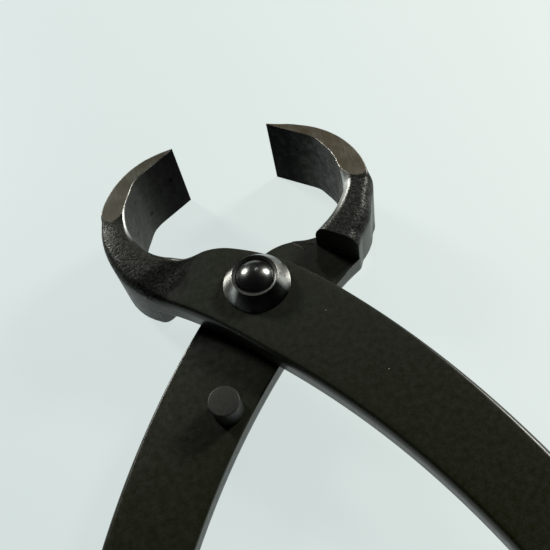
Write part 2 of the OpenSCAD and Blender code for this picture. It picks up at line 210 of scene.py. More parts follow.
class Finish(PropertyGroup):
    scale_black: colour("Black scale", (0.0122, 0.0139, 0.0102), "Satin black skin of the forgings")
    # A darker, warmer tint of the skin in clouds, and painted shade towards the handle
    olive_tint_and_shade: colour("Olive scale", (0.0062, 0.0075, 0.0008), "Where the skin has a warmer tint")
    forged_grey: colour("Forged grey", (0.07, 0.071, 0.067), "Rough skin of the necks")
    ground_steel: colour("Ground steel", (0.1, 0.09, 0.071), "Bare sides of the jaws")
    gloss_black: colour("Gloss black", (0.065, 0.066, 0.06), "Reflection of the washers and rivet")
    # Painted reflection on the washers' left and right flanks and on the front of their dish
    painted_reflection_gloss: colour("Rubbed gloss", (0.85, 0.85, 0.82), "Reflection where the washers are rubbed bare")
    scale_roughness: amount("Scale roughness", 0.31, "Roughness of the black skin")
    scale_gloss: amount("Scale gloss", 0.3, "Specular level of the black skin")
    edge_wear: amount("Edge wear", 0.25, "Bare metal on the levers' edges")


class Stage(PropertyGroup):
    floor_left: colour("Floor, left", (0.565, 0.645, 0.645), "Glow of the pale floor at the left")
    floor_right: colour("Floor, right", (0.69, 0.755, 0.725), "Glow of the pale floor at the right")
    floor_tint: colour("Floor paint", (0.08, 0.085, 0.084), "How much lamp light the floor gives back")
    lamp_power: FloatProperty(name="Lamp power", description="Power of each soft lamp", default=3.8, min=0,
                              unit="POWER")
    lamp_size: length("Lamp size", 130, "Diameter of each soft lamp")
    lamp_distance: length("Lamp distance", 600, "From the tool to each lamp")
    room: amount("Room light", 0.014, "Light that the dark room gives")


def unit(a):
    return np.array([math.cos(a), math.sin(a)])


def angle_of(v):
    return math.atan2(v[1], v[0])


def full_angle(v):
    return angle_of(v) % (2 * math.pi)


def mix(a, b, t):
    return a + (b - a) * t


def ease(t):
    t = min(max(t, 0), 1)
    return t * t * (3 - 2 * t)


def smooth_interp(at, places, values):
    """Runs through the values at their places, level at each of them."""
    n = int(np.clip(np.searchsorted(places, at) - 1, 0, len(places) - 2))
    return mix(values[n], values[n + 1], ease((at - places[n]) / (places[n + 1] - places[n])))


def meeting_point(c1, r1, c2, r2):
    """Where two circles meet, to the left of the line from the first centre to the second."""
    v = c2 - c1
    d = np.linalg.norm(v)
    along = (d * d + r1 * r1 - r2 * r2) / (2 * d)
    across = math.sqrt(max(0, r1 * r1 - along * along))
    return c1 + along * v / d + across * np.array([-v[1], v[0]]) / d


class LeverShape:
    """The outline and section of one lever, closed, with its lap at Z = 0 and its plate on the +Z side."""

    # Rings in each stretch of the outline, and rings from the cutting edge to the top of the crown
    EDGE, CROWN, NECK, FLANK, HUMP, SHOULDER, BOW, TAIL, TIP = 7, 9, 7, 14, 8, 8, 22, 18, 7
    EDGE_TOP = 4

    def __init__(self, s, hand):
        self.s = s
        self.hand = hand
        self.lap_z = s.edge_length / 2
        self.front_z = s.lap_gap / 2 + s.lap_thickness
        self.tip = np.array([-s.edge_gap / 2, s.jaw_reach])
        self.crown_c = np.array([-s.head_half_width + s.jaw_crown_r, s.jaw_reach - s.jaw_crown_r])
        self.flank_c = np.array([-s.head_half_width + s.jaw_flank_r, self.crown_c[1]])
        self.throat_c = np.array([-s.throat_half_width + s.throat_crown_r, s.throat_centre_y])
        shift = s.throat_crown_r - s.throat_floor_r
        self.floor_c = self.throat_c + shift * unit(s.throat_turn)
        self.bow_c = np.array([s.bow_half_width - s.bow_r, -s.bow_y])
        self.shoulder_turn = math.asin((s.bow_y - s.shoulder_end_y) / s.bow_r)
        self.shoulder_c = self.bow_c + (s.bow_r - s.shoulder_r) * unit(self.shoulder_turn)
        self.hump_c = meeting_point(self.floor_c, s.throat_floor_r + s.hump_r,
                                    self.shoulder_c, s.shoulder_r - s.hump_r)
        self.hump_start = angle_of(self.floor_c - self.hump_c)
        self.hump_end = angle_of(self.hump_c - self.shoulder_c)
        self.tail_c = np.array([s.bow_half_width - s.tail_r, -s.bow_y])
        self.tail_turn = math.asin((s.handle_end_y - s.bow_y) / s.tail_r)
        self.inner_r = s.bow_r - s.handle_root_width
        self.hollow_c = meeting_point(self.flank_c, s.jaw_flank_r + s.heel_hollow_r,
                                      self.bow_c, self.inner_r - s.heel_hollow_r)
        self.heel_end = full_angle(self.hollow_c - self.flank_c)
        self.lap_turn = angle_of(self.hollow_c - self.bow_c)
        self.bow_length = s.bow_r * self.shoulder_turn
        self.tail_length = s.tail_r * self.tail_turn
        self.land_end = self.tip - np.array([0, s.edge_land])
        edge = self.land_end - self.throat_c
        self.throat_start = angle_of(edge) + math.acos(s.throat_crown_r / np.linalg.norm(edge))
        self.floor_end = full_angle(self.hump_c - self.floor_c)
        counts = (self.EDGE, self.CROWN, self.NECK, self.FLANK, self.HUMP, self.SHOULDER, self.BOW, self.TAIL,
                  self.TIP)
        self.starts = np.concatenate([[0], np.cumsum(counts)])
        self.facet_at = np.interp(math.degrees(hand.facet_turn), CROWN_TURNS[1:], self.starts[1:4])
        self.flank_at = self.starts[3]
        self.plate_at = self.flank_at + hand.plate_run
        self.lap_at = self.flank_at + self.FLANK + 2
        self.bow_at = self.starts[6]
        self.grip_at = self.bow_at + self.BOW * 0.75
        self.last = self.starts[-1]

    def handle_width(self, along):
        s = self.s
        return mix(s.handle_root_width, s.handle_end_width, along / (self.bow_length + self.tail_length))

    def stretch(self, i):
        """Number of the stretch that ring i lies in, and how far along it."""
        n = min(int(np.searchsorted(self.starts, i, side="right")) - 1, len(self.starts) - 2)
        return n, (i - self.starts[n]) / (self.starts[n + 1] - self.starts[n])

    def tip_place(self, a, b, t):
        t = 0.985 * math.sin(math.pi / 2 * t)
        along = unit(-self.tail_turn - math.pi / 2) * self.s.handle_tip_length * t
        return mix((a + b) / 2, a, math.sqrt(max(0, 1 - t ** 2.4))) + along

    def hand_out(self, turn):
        """How far the outside of the jaw is moved out at an angle round the crown, in degrees."""
        h = self.hand
        step = math.degrees(h.facet_turn) + h.step_turn
        moves = ((78, 0.6 * h.tip_out), (88, h.tip_out), (100, h.crown_out), (step - 7, h.crown_out),
                 (step, h.step_out), (182, h.flank_out), (200, h.heel_out), (200 + h.heel_run, h.heel_out),
                 (221, h.lap_out))
        return smooth_interp(turn, *zip(*moves))

    def hand_in(self, turn):
        """How far the throat side is moved in at an angle round the throat, in degrees."""
        h = self.hand
        moves = ((82, 0.3 * h.crown_in), (97, h.crown_in), (117, h.crown_in), (135, h.turn_in),
                 (160, h.turn_in), (195, 0))
        return smooth_interp(turn, *zip(*moves))

    def throat_turn_at(self, i):
        """Angle round the throat at ring i, in degrees."""
        n, t = self.stretch(i)
        start, middle = math.degrees(self.throat_start), math.degrees(self.s.throat_turn)
        return (start, mix(start, middle, t), mix(middle, FLOOR_TURN, t))[n] if n < 3 else FLOOR_TURN

    def lap_out(self, i):
        """How far the lap's inner edge is moved out at ring i, past the heel."""
        return self.hand.lap_out * (1 - ease((i - self.starts[4]) / (self.HUMP + self.SHOULDER)))

    def crown_place(self, turn):
        return self.crown_c + (self.s.jaw_crown_r + self.hand_out(turn)) * unit(math.radians(turn))

    def tail_ends(self):
        s = self.s
        out = self.tail_c + s.tail_r * unit(-self.tail_turn)
        return out, self.tail_c + (s.tail_r - s.handle_end_width) * unit(-self.tail_turn)

    def throat_side(self, i):
        s, (n, t) = self.s, self.stretch(i)
        if n == 0:
            start = self.throat_c + s.throat_crown_r * unit(self.throat_start)
            start = start - self.hand_in(math.degrees(self.throat_start)) * unit(self.throat_start)
            return mix(self.land_end, start, t)
        moved = self.hand_in(self.throat_turn_at(i))
        if n == 1:
            return self.throat_c + (s.throat_crown_r - moved) * unit(mix(self.throat_start, s.throat_turn, t))
        if n == 2:
            turn = mix(s.throat_turn, math.radians(FLOOR_TURN), t)
            return self.floor_c + (s.throat_floor_r - moved) * unit(turn)
        if n == 3:
            return self.floor_c + s.throat_floor_r * unit(mix(math.radians(FLOOR_TURN), self.floor_end, t))
        if n == 4:
            return self.hump_c + s.hump_r * unit(mix(self.hump_start, self.hump_end, t))
        if n == 5:
            return self.shoulder_c + s.shoulder_r * unit(mix(self.hump_end, self.shoulder_turn, t))
        if n == 6:
            return self.bow_c + s.bow_r * unit(mix(self.shoulder_turn, 0, t))
        if n == 7:
            return self.tail_c + s.tail_r * unit(-self.tail_turn * t)
        out, inner = self.tail_ends()
        return self.tip_place(out, inner, t)

    def back_side(self, i):
        s, (n, t) = self.s, self.stretch(i)
        if n == 0:
            top = self.EDGE_TOP / self.EDGE
            if t < top:
                start = mix(self.tip, self.crown_c + np.array([0, s.jaw_crown_r]), t / top)
                return start + np.array([0, self.hand.tip_out * math.sin(math.pi / 2 * t / top)])
            return self.crown_place(mix(CROWN_TURNS[0], CROWN_TURNS[1], (t - top) / (1 - top)))
        if n in (1, 2):
            return self.crown_place(mix(CROWN_TURNS[n], CROWN_TURNS[n + 1], t))
        if n == 3:
            turn = mix(CROWN_TURNS[3], math.degrees(self.heel_end), t)
            return self.flank_c + (s.jaw_flank_r + self.hand_out(turn)) * unit(math.radians(turn))
        if n == 4:
            r = s.heel_hollow_r - self.lap_out(i)
            return self.hollow_c + r * unit(mix(self.heel_end - math.pi, self.lap_turn, t))
        if n == 5:
            return self.bow_c + (self.inner_r - self.lap_out(i)) * unit(mix(self.lap_turn, self.shoulder_turn, t))
        if n == 6:
            r = s.bow_r - self.handle_width(self.bow_length * t)
            return self.bow_c + r * unit(self.shoulder_turn * (1 - t))
        if n == 7:
            r = s.tail_r - self.handle_width(self.bow_length + self.tail_length * t)
            return self.tail_c + r * unit(-self.tail_turn * t)
        out, inner = self.tail_ends()
        return self.tip_place(inner, out, t)

    def ground_crown(self, i):
        return self.lap_z + self.s.grinding_stock * (1 - (i / self.facet_at) ** 3)

    def dip(self, i, t):
        """How far the forged skin lies below the ground side, fading along the neck."""
        return self.s.facet_dip * ease((i - self.facet_at) / 0.8) * (1 - t)

    def crown_front(self, i):
        if i <= self.facet_at:
            return self.ground_crown(i)
        if i >= self.plate_at:
            return self.front_z
        t = (i - self.facet_at) / (self.plate_at - self.facet_at)
        even, late = mix(t, ease(t), 0.7 * t), 0.45 * t ** 1.6 + 0.55 * ease((t - 0.72) / 0.28)
        return mix(self.lap_z, self.front_z, mix(even, late, self.hand.shoulder)) - self.dip(i, t)

    def crown_rear(self, i):
        if i <= self.facet_at:
            return -self.ground_crown(i)
        if i >= self.lap_at:
            return self.s.lap_gap / 2
        t = (i - self.facet_at) / (self.lap_at - self.facet_at)
        return -mix(self.lap_z, self.lap_z - self.s.neck_drop, t) + self.dip(i, t)

    def step_in(self, i):
        if i <= self.flank_at or i >= self.lap_at:
            return 0
        return self.s.neck_step * ((i - self.flank_at) / (self.lap_at - self.flank_at)) ** 2

    def neck_share(self, i, last):
        return min(ease((i - self.facet_at + 1.6) / 3.2), 1 - ease((i - last + 4) / 5))

    def inner_share(self, i, last):
        return min(ease((i - self.facet_at + 3.5) / self.hand.inner_run), 1 - ease((i - last + 4) / 5))

    def corners(self, i):
        """Corner sizes, across and through, in the order back rear, throat rear, throat front, back front."""
        s = self.s
        flat = np.array([s.edge_break, s.edge_break])
        outer = np.array([s.neck_outer_round, s.neck_outer_depth])
        plate_side = mix(flat, outer, self.hand.plate_round)
        inner = np.array([s.neck_inner_round, s.neck_round_depth]) * self.hand.round_growth
        bevel = np.array([s.inner_bevel_width, s.inner_bevel_depth])
        grip = (s.outer_bevel - s.edge_break) * ease((i - self.bow_at) / (self.grip_at - self.bow_at))
        on_neck = 1 if i < self.lap_at else 0
        rear_grip = 0 if i < self.lap_at else grip
        grown = mix(0.3, 1, ease((i - self.facet_at - 1) / 9))
        return [mix(flat, outer, self.neck_share(i, BEYOND_LAST_RING) * on_neck) + rear_grip * 0.6,
                mix(flat, inner, self.inner_share(i, BEYOND_LAST_RING) * on_neck) + rear_grip,
                mix(flat, inner, self.inner_share(i, self.plate_at)) + grip,
                mix(mix(flat, bevel, ease((i - self.lap_at + 8) / 8)), plate_side,
                    self.neck_share(i, self.lap_at) * grown)]

    def step_level(self, i, k):
        if i < self.lap_at:
            return self.s.lap_gap / 2 * k
        return self.crown_rear(i) + self.corners(i)[1][1] * (1.1 + 0.3 * k)

    def section(self, i):
        """Points of the section at ring i, with their outer, throat, worn, tipward and rim marks."""
        a, b = self.back_side(i), self.throat_side(i)
        w = np.linalg.norm(b - a)
        u = (b - a) / w
        lo, hi, sizes, step = self.crown_rear(i), self.crown_front(i), self.corners(i), self.step_in(i)
        shares = (self.neck_share(i, BEYOND_LAST_RING) if i < self.lap_at else 0, self.neck_share(i, self.lap_at))

        def corner(q, width):
            sx, sz = min(sizes[q][0], 0.3 * width), min(sizes[q][1], 0.45 * (hi - lo))
            cut = self.s.corner_cut * shares[q // 2] if q in (0, 3) else 0
            rx, rz = sx / math.cos(cut), sz / (1 - math.sin(cut))
            cx = sx if q in (0, 3) else width - sx
            cz = lo + rz if q < 2 else hi - rz
            first = math.pi + math.pi / 2 * q + (cut if q == 0 else 0)
            sweep = math.pi / 2 - cut
            turns = [first + sweep * k / ROUND_STEPS for k in range(ROUND_STEPS + 1)]
            return [np.array([cx + rx * math.cos(t), cz + rz * math.sin(t)]) for t in turns]

        parts = [(corner(0, w), ACROSS_STEPS), (corner(1, w - step), SIDE_STEPS // 2),
                 ([np.array([w - step, self.step_level(i, 0)])], 4),
                 ([np.array([w, self.step_level(i, 1)])], SIDE_STEPS // 2),
                 (corner(2, w), ACROSS_STEPS), (corner(3, w), SIDE_STEPS)]
        outline, outer, throat, worn = [], [], [], []
        for n, (points, steps) in enumerate(parts):
            following = parts[(n + 1) % len(parts)][0][0]
            spare = [mix(points[-1], following, k / steps) for k in range(1, steps)]
            outline += points + spare
            outer += [0] * (len(points) - 1) + [1.0 * (n == 5)] * (len(spare) + 1)
            throat += [1.0 * (n in (2, 3))] * (len(points) - 1) + [1.0 * (n in (1, 2, 3))] * (len(spare) + 1)
            wear = 1.0 * (n in (1, 4))
            worn += [wear * math.sin(math.pi * k / ROUND_STEPS) for k in range(len(points))] + [0] * len(spare)
        outer[0] = 1.0
        domed = ease((i - self.facet_at + 6) / 4) * self.s.neck_dome
        crowns = (domed * (1 - ease((i - self.plate_at + 6) / 6)) / max(hi, NOT_ZERO),
                  domed * (1 - ease((i - self.lap_at + 3) / 3)) / max(-lo, NOT_ZERO))
        verts = []
        for x, z in outline:
            z *= 1 - crowns[0 if z > 0 else 1] * (2 * x / w - 1) ** 2
            verts.append([a[0] + u[0] * x, a[1] + u[1] * x, z])
        on_jaw = 1 - ease((i - self.lap_at) / 3)
        fade = ease((i - self.facet_at + 3) / 2) * (1 - ease((i - self.facet_at - 1) / self.hand.worn_run))
        wear = np.array(worn) * fade * on_jaw
        tipward = np.full(len(outer), 1 - ease((i - 2) / 9))
        rim = np.array(throat) * ease((i - self.facet_at + 13) / 4) * (1 - ease((i - self.facet_at + 1) / 2))
        return np.array(verts), np.array(outer) * on_jaw, np.array(throat) * on_jaw, wear, tipward, rim

    def ring_places(self):
        """Places of all rings of the skin; finer says how many there are to each ring number of a stretch."""
        finer = (4, 7, 8, 7, 4, 2, 3, 3, 3)
        places = []
        for n, count in enumerate(np.diff(self.starts)):
            places += [self.starts[n] + k / finer[n] for k in range(int(count) * finer[n])]
        return places + [self.last]


def new_object(name, mesh):
    piece = bpy.data.objects.new(name, mesh)
    bpy.context.scene.collection.objects.link(piece)
    return piece


def mesh_of(bm, name):
    """A new mesh from the bmesh, which is freed."""
    mesh = bpy.data.meshes.new(name)
    bm.to_mesh(mesh)
    bm.free()
    return mesh


def evaluated_mesh(piece):
    """A plain copy of the piece's mesh with its modifiers applied."""
    bpy.context.view_layer.update()
    return bpy.data.meshes.new_from_object(piece.evaluated_get(bpy.context.evaluated_depsgraph_get()))


def face_outwards(mesh):
    """Merges doubled points and turns every face of a closed mesh outwards."""
    bm = bmesh.new()
    bm.from_mesh(mesh)
    bmesh.ops.remove_doubles(bm, verts=bm.verts, dist=SAME_PLACE)
    bmesh.ops.dissolve_degenerate(bm, edges=bm.edges, dist=SAME_PLACE)
    bmesh.ops.recalc_face_normals(bm, faces=bm.faces)
    if bm.calc_volume(signed=True) < 0:
        bmesh.ops.reverse_faces(bm, faces=bm.faces)
    bm.to_mesh(mesh)
    bm.free()


def skin(name, rings, marks):
    """A closed mesh through the rings, capped at both ends, with one mark for each point of each ring."""
    count, points = len(rings), len(rings[0])
    verts = np.concatenate(rings)
    faces = []
    for i in range(count - 1):
        for k in range(points):
            n = (k + 1) % points
            faces.append((i * points + k, i * points + n, (i + 1) * points + n, (i + 1) * points + k))
    faces.append(tuple(reversed(range(points))))
    faces.append(tuple((count - 1) * points + k for k in range(points)))
    mesh = bpy.data.meshes.new(name)
    mesh.from_pydata(verts.tolist(), [], faces)
    for mark, values in marks.items():
        mesh.attributes.new(mark, "FLOAT", "POINT").data.foreach_set("value", np.concatenate(values).ravel())
    mesh.update()
    face_outwards(mesh)
    return mesh


def cut_away(piece, cutters):
    """Cuts each closed mesh out of the piece and leaves the piece a plain mesh."""
    for n, cutter_mesh in enumerate(cutters):
        cutter = new_object(f"cutter_{n}", cutter_mesh)
        cut = piece.modifiers.new("cut", "BOOLEAN")
        cut.operation, cut.solver, cut.object = "DIFFERENCE", "EXACT", cutter
    mesh = evaluated_mesh(piece)
    for cut in list(piece.modifiers):
        cutter = cut.object
        piece.modifiers.remove(cut)
        bpy.data.objects.remove(cutter)
    piece.data = mesh


def block(lo, hi, turn=0.0, shift=(0, 0, 0)):
    bm = bmesh.new()
    bmesh.ops.create_cube(bm, size=1)
    lo, hi = Vector(lo), Vector(hi)
    place = Matrix.Translation((lo + hi) / 2) @ Matrix.Diagonal((*(hi - lo), 1))
    bm.transform(Matrix.Translation(shift) @ Matrix.Rotation(turn, 4, "Z") @ place)
    return mesh_of(bm, "block")


def round_bar(radius, z0, z1, x=0.0, y=0.0, segments=128):
    bm = bmesh.new()
    bmesh.ops.create_cone(bm, cap_ends=True, segments=segments, radius1=radius, radius2=radius, depth=z1 - z0)
    bm.transform(Matrix.Translation((x, y, (z0 + z1) / 2)))
    return mesh_of(bm, "round_bar")


def rounded(profile, radius):
    """The profile with each inner corner rounded, in points of radius and height."""
    points = [np.array(p, float) for p in profile]
    result = [points[0]]
    for before, here, after in zip(points, points[1:], points[2:]):
        a, b = before - here, after - here
        la, lb = np.linalg.norm(a), np.linalg.norm(b)
        a, b = a / la, b / lb
        half = math.acos(np.clip(a @ b, -1, 1)) / 2
        if half > math.radians(88):
            result.append(here)
            continue
        reach = min(radius / math.tan(half), 0.45 * la, 0.45 * lb)
        for k in range(PROFILE_STEPS + 1):
            t = k / PROFILE_STEPS
            result.append((1 - t) ** 2 * (here + a * reach) + 2 * t * (1 - t) * here + t * t * (here + b * reach))
    return result + [points[-1]]


def turned(name, profile, segments=144, closed=False):
    """A solid turned about Z from a profile of radius and height; closed joins its ends, as in a washer."""
    verts, faces, rows = [], [], []
    for r, z in profile:
        if r < SAME_PLACE:
            rows.append([len(verts)])
            verts.append((0, 0, z))
            continue
        rows.append(list(range(len(verts), len(verts) + segments)))
        verts += [(r * math.cos(2 * math.pi * k / segments), r * math.sin(2 * math.pi * k / segments), z)
                  for k in range(segments)]
    pairs = list(zip(rows, rows[1:])) + ([(rows[-1], rows[0])] if closed else [])
    for a, b in pairs:
        for k in range(segments):
            n = (k + 1) % segments
            loop = list(dict.fromkeys((a[k % len(a)], a[n % len(a)], b[n % len(b)], b[k % len(b)])))
            if len(loop) > 2:
                faces.append(loop)
    mesh = bpy.data.meshes.new(name)
    mesh.from_pydata(verts, [], faces)
    face_outwards(mesh)
    return mesh


def smooth_by_angle(mesh, degrees):
    mesh.polygons.foreach_set("use_smooth", [True] * len(mesh.polygons))
    mesh.set_sharp_from_angle(angle=math.radians(degrees))
    mesh.update()


def node(tree, kind, place, **values):
    made = tree.nodes.new(kind)
    made.location = place
    for name, value in values.items():
        setattr(made, name, value)
    return made


def forge_skin_tree(material):
    """Geometry Nodes that raise a pitted forged skin where the forged mark says so."""
    tree = bpy.data.node_groups.new("Forged skin", "GeometryNodeTree")
    for name, way, kind in (("Geometry", "INPUT", "Geometry"), ("Depth", "INPUT", "Float"),
                            ("Grain", "INPUT", "Float"), ("Seed", "INPUT", "Float"),
                            ("Geometry", "OUTPUT", "Geometry")):
        tree.interface.new_socket(name, in_out=way, socket_type=f"NodeSocket{kind}")
    start = node(tree, "NodeGroupInput", (-900, 0))
    mark = node(tree, "GeometryNodeInputNamedAttribute", (-700, -300), data_type="FLOAT")
    per_metre = node(tree, "ShaderNodeMath", (-700, 100), operation="DIVIDE")
    noise = node(tree, "ShaderNodeTexNoise", (-500, 100), noise_dimensions="4D")
    centred = node(tree, "ShaderNodeMath", (-300, 100), operation="SUBTRACT")
    deep = node(tree, "ShaderNodeMath", (-150, 100), operation="MULTIPLY")
    masked = node(tree, "ShaderNodeMath", (0, 100), operation="MULTIPLY")
    normal = node(tree, "GeometryNodeInputNormal", (0, -150))
    push = node(tree, "ShaderNodeVectorMath", (150, 0), operation="SCALE")
    moved = node(tree, "GeometryNodeSetPosition", (320, 100))
    real = node(tree, "GeometryNodeRealizeInstances", (480, 100))
    coat = node(tree, "GeometryNodeSetMaterial", (640, 100))
    end = node(tree, "NodeGroupOutput", (800, 100))
    for made, socket, value in ((mark, "Name", "forged"), (per_metre, 0, 1.0), (noise, "Detail", 2.0),
                                (noise, "Roughness", 0.55), (centred, 1, 0.5), (coat, "Material", material)):
        made.inputs[socket].default_value = value
    for source, out, target, into in (
            (start, "Grain", per_metre, 1), (per_metre, 0, noise, "Scale"), (start, "Seed", noise, "W"),
            (noise, "Fac", centred, 0), (centred, 0, deep, 0), (start, "Depth", deep, 1),
            (deep, 0, masked, 0), (mark, "Attribute", masked, 1),
            (normal, 0, push, 0), (masked, 0, push, "Scale"),
            (start, "Geometry", moved, "Geometry"), (push, 0, moved, "Offset"),
            (moved, 0, real, 0), (real, 0, coat, "Geometry"), (coat, 0, end, 0)):
        tree.links.new(source.outputs[out], target.inputs[into])
    return tree


def apply_tree(piece, tree, values):
    """Runs a Geometry Nodes tree on the piece and leaves the result as its plain mesh."""
    modifier = piece.modifiers.new(tree.name, "NODES")
    modifier.node_group = tree
    for item in tree.interface.items_tree:
        if item.in_out == "INPUT" and item.name in values:
            modifier[item.identifier] = values[item.name]
    mesh = evaluated_mesh(piece)
    piece.modifiers.remove(modifier)
    piece.data = mesh


class Shader:
    """A material with a Principled surface, and short calls to add its nodes."""

    def __init__(self, name):
        self.material = bpy.data.materials.new(name)
        self.material.use_nodes = True
        self.tree = self.material.node_tree
        self.surface = self.tree.nodes["Principled BSDF"]
        self.place = self.add("ShaderNodeTexCoord").outputs["Object"]

    def add(self, kind, **values):
        return node(self.tree, kind, (-200 * (len(self.tree.nodes) % 12), -220 * (len(self.tree.nodes) // 12)),
                    **values)

    def put(self, target, value):
        if isinstance(value, bpy.types.NodeSocket):
            self.tree.links.new(value, target)
        else:
            target.default_value = value

    def axes(self):
        """The X, Y and Z of a point."""
        split = self.add("ShaderNodeSeparateXYZ")
        self.put(split.inputs[0], self.place)
        return split.outputs[:]

    def reach(self, vector):
        """How long a vector is."""
        made = self.add("ShaderNodeVectorMath", operation="LENGTH")
        self.put(made.inputs[0], vector)
        return made.outputs["Value"]

    def noise(self, grain, detail, roughness, stretch=None):
        """Noise whose features are about grain metres across; stretch is a scale and a turn for each axis."""
        source = self.place
        if stretch is not None:
            mapping = self.add("ShaderNodeMapping")
            mapping.inputs["Scale"].default_value = stretch[0]
            mapping.inputs["Rotation"].default_value = stretch[1]
            self.put(mapping.inputs["Vector"], source)
            source = mapping.outputs[0]
        made = self.add("ShaderNodeTexNoise")
        self.put(made.inputs["Vector"], source)
        made.inputs["Scale"].default_value = 1 / grain
        made.inputs["Detail"].default_value = detail
        made.inputs["Roughness"].default_value = roughness
        return made.outputs["Fac"]

    def pits(self, grain, size, rarity):
        """1 inside round pits, one in each cell of grain metres whose random grey is above rarity, 0 elsewhere."""
        made = self.add("ShaderNodeTexVoronoi")
        self.put(made.inputs["Vector"], self.place)
        made.inputs["Scale"].default_value = 1 / grain
        return self.product(self.math("LESS_THAN", made.outputs["Distance"], size),
                            self.math("GREATER_THAN", made.outputs["Color"], rarity))

    def span(self, value, low, high, to_low=0.0, to_high=1.0):
        made = self.add("ShaderNodeMapRange")
        self.put(made.inputs["Value"], value)
        for name, number in zip(("From Min", "From Max", "To Min", "To Max"), (low, high, to_low, to_high)):
            self.put(made.inputs[name], number)
        return made.outputs[0]

    def math(self, operation, a, b=0.0):
        made = self.add("ShaderNodeMath", operation=operation)
        self.put(made.inputs[0], a)
        self.put(made.inputs[1], b)
        return made.outputs[0]

    def product(self, a, b):
        return self.math("MULTIPLY", a, b)

    def highest(self, value, *others):
        for other in others:
            value = self.math("MAXIMUM", value, other)
        return value

    def plus_shares(self, value, *shares):
        """The value, plus each mark times its share."""
        for mark, share in shares:
            value = self.math("ADD", value, self.product(mark, share))
        return value

    def blend(self, factor, a, b):
        """A colour between two, each a socket or three numbers."""
        made = self.add("ShaderNodeMix", data_type="RGBA")
        self.put(made.inputs["Factor"], factor)
        for target, value in ((made.inputs["A"], a), (made.inputs["B"], b)):
            self.put(target, value if isinstance(value, bpy.types.NodeSocket) else (*value, 1.0))
        return made.outputs["Result"]

    def mark(self, name):
        return self.add("ShaderNodeAttribute", attribute_name=name).outputs["Fac"]

    def bump(self, height, distance, strength=1.0, normal=None):
        made = self.add("ShaderNodeBump")
        self.put(made.inputs["Height"], height)
        made.inputs["Distance"].default_value = distance
        self.put(made.inputs["Strength"], strength)
        if normal is not None:
            self.put(made.inputs["Normal"], normal)
        return made.outputs[0]

    def finish(self, **sockets):
        for name, value in sockets.items():
            self.put(self.surface.inputs[name.replace("_", " ").title().replace("Ior", "IOR")], value)
        return self.material


